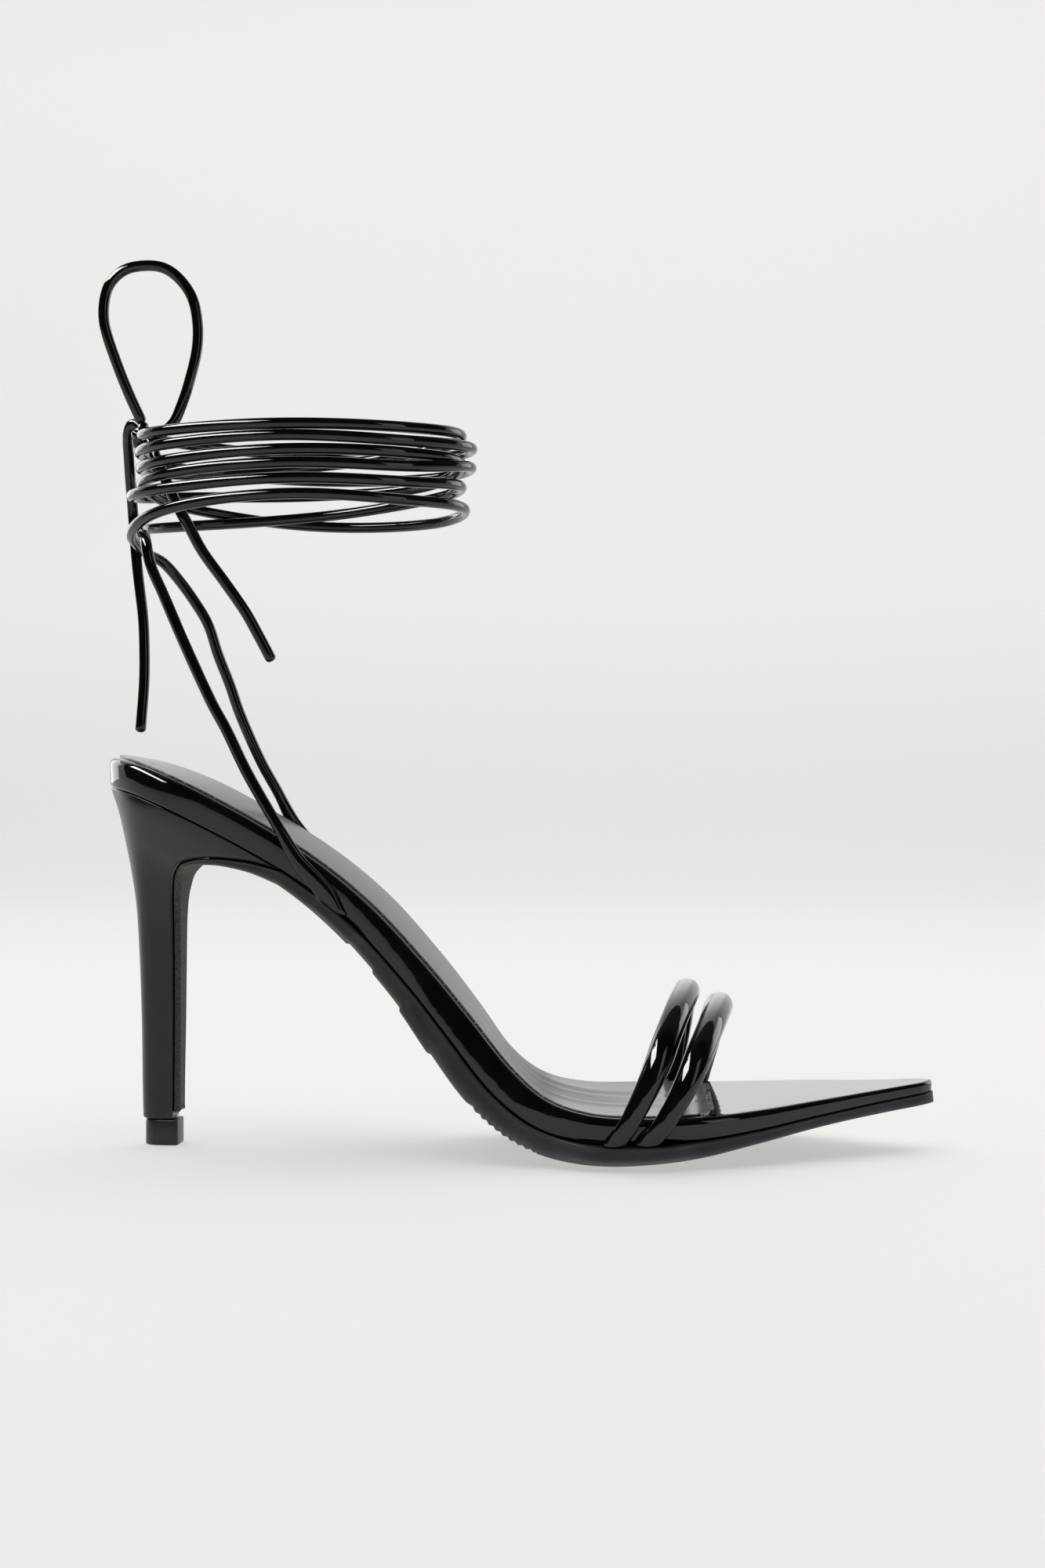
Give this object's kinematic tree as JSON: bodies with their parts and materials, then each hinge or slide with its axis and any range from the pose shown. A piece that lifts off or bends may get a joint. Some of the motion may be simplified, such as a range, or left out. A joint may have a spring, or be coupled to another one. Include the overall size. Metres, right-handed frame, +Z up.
{
  "type": "lace up heeled sandal",
  "caption": "Right stiletto sandal: patent footbed, rubber sole, slim covered heel, round toe straps and long ankle ties wound in a level band and bowed at the back.",
  "frame": {"origin": "centre of the shoe's box on the floor plane, without the free cords", "axes": "+X to the toe tip, the outer side of the foot faces -Y, +Z up"},
  "size_m": [0.2247, 0.0868, 0.2394],
  "materials": {
    "footbed": "black patent, mirror gloss",
    "heel": "black patent, mirror gloss",
    "toe_strap_rear": "black patent, mirror gloss",
    "toe_strap_front": "black patent, mirror gloss",
    "ankle_ties": "black patent, mirror gloss",
    "tie_knot": "black patent, mirror gloss",
    "tie_loop": "black patent, mirror gloss",
    "tie_end_long": "black patent, mirror gloss",
    "tie_end_short": "black patent, mirror gloss",
    "outsole": "matt black rubber",
    "top_lift": "black, satin"
  },
  "bodies": {
    "root": {"footbed": "footbed", "heel": "heel", "toe_strap_rear": "toe_strap_rear", "toe_strap_front": "toe_strap_front", "ankle_ties": "ankle_ties", "tie_knot": "tie_knot", "tie_loop": "tie_loop", "tie_end_long": "tie_end_long", "tie_end_short": "tie_end_short", "outsole": "outsole", "top_lift": "top_lift"}
  },
  "joints": []
}
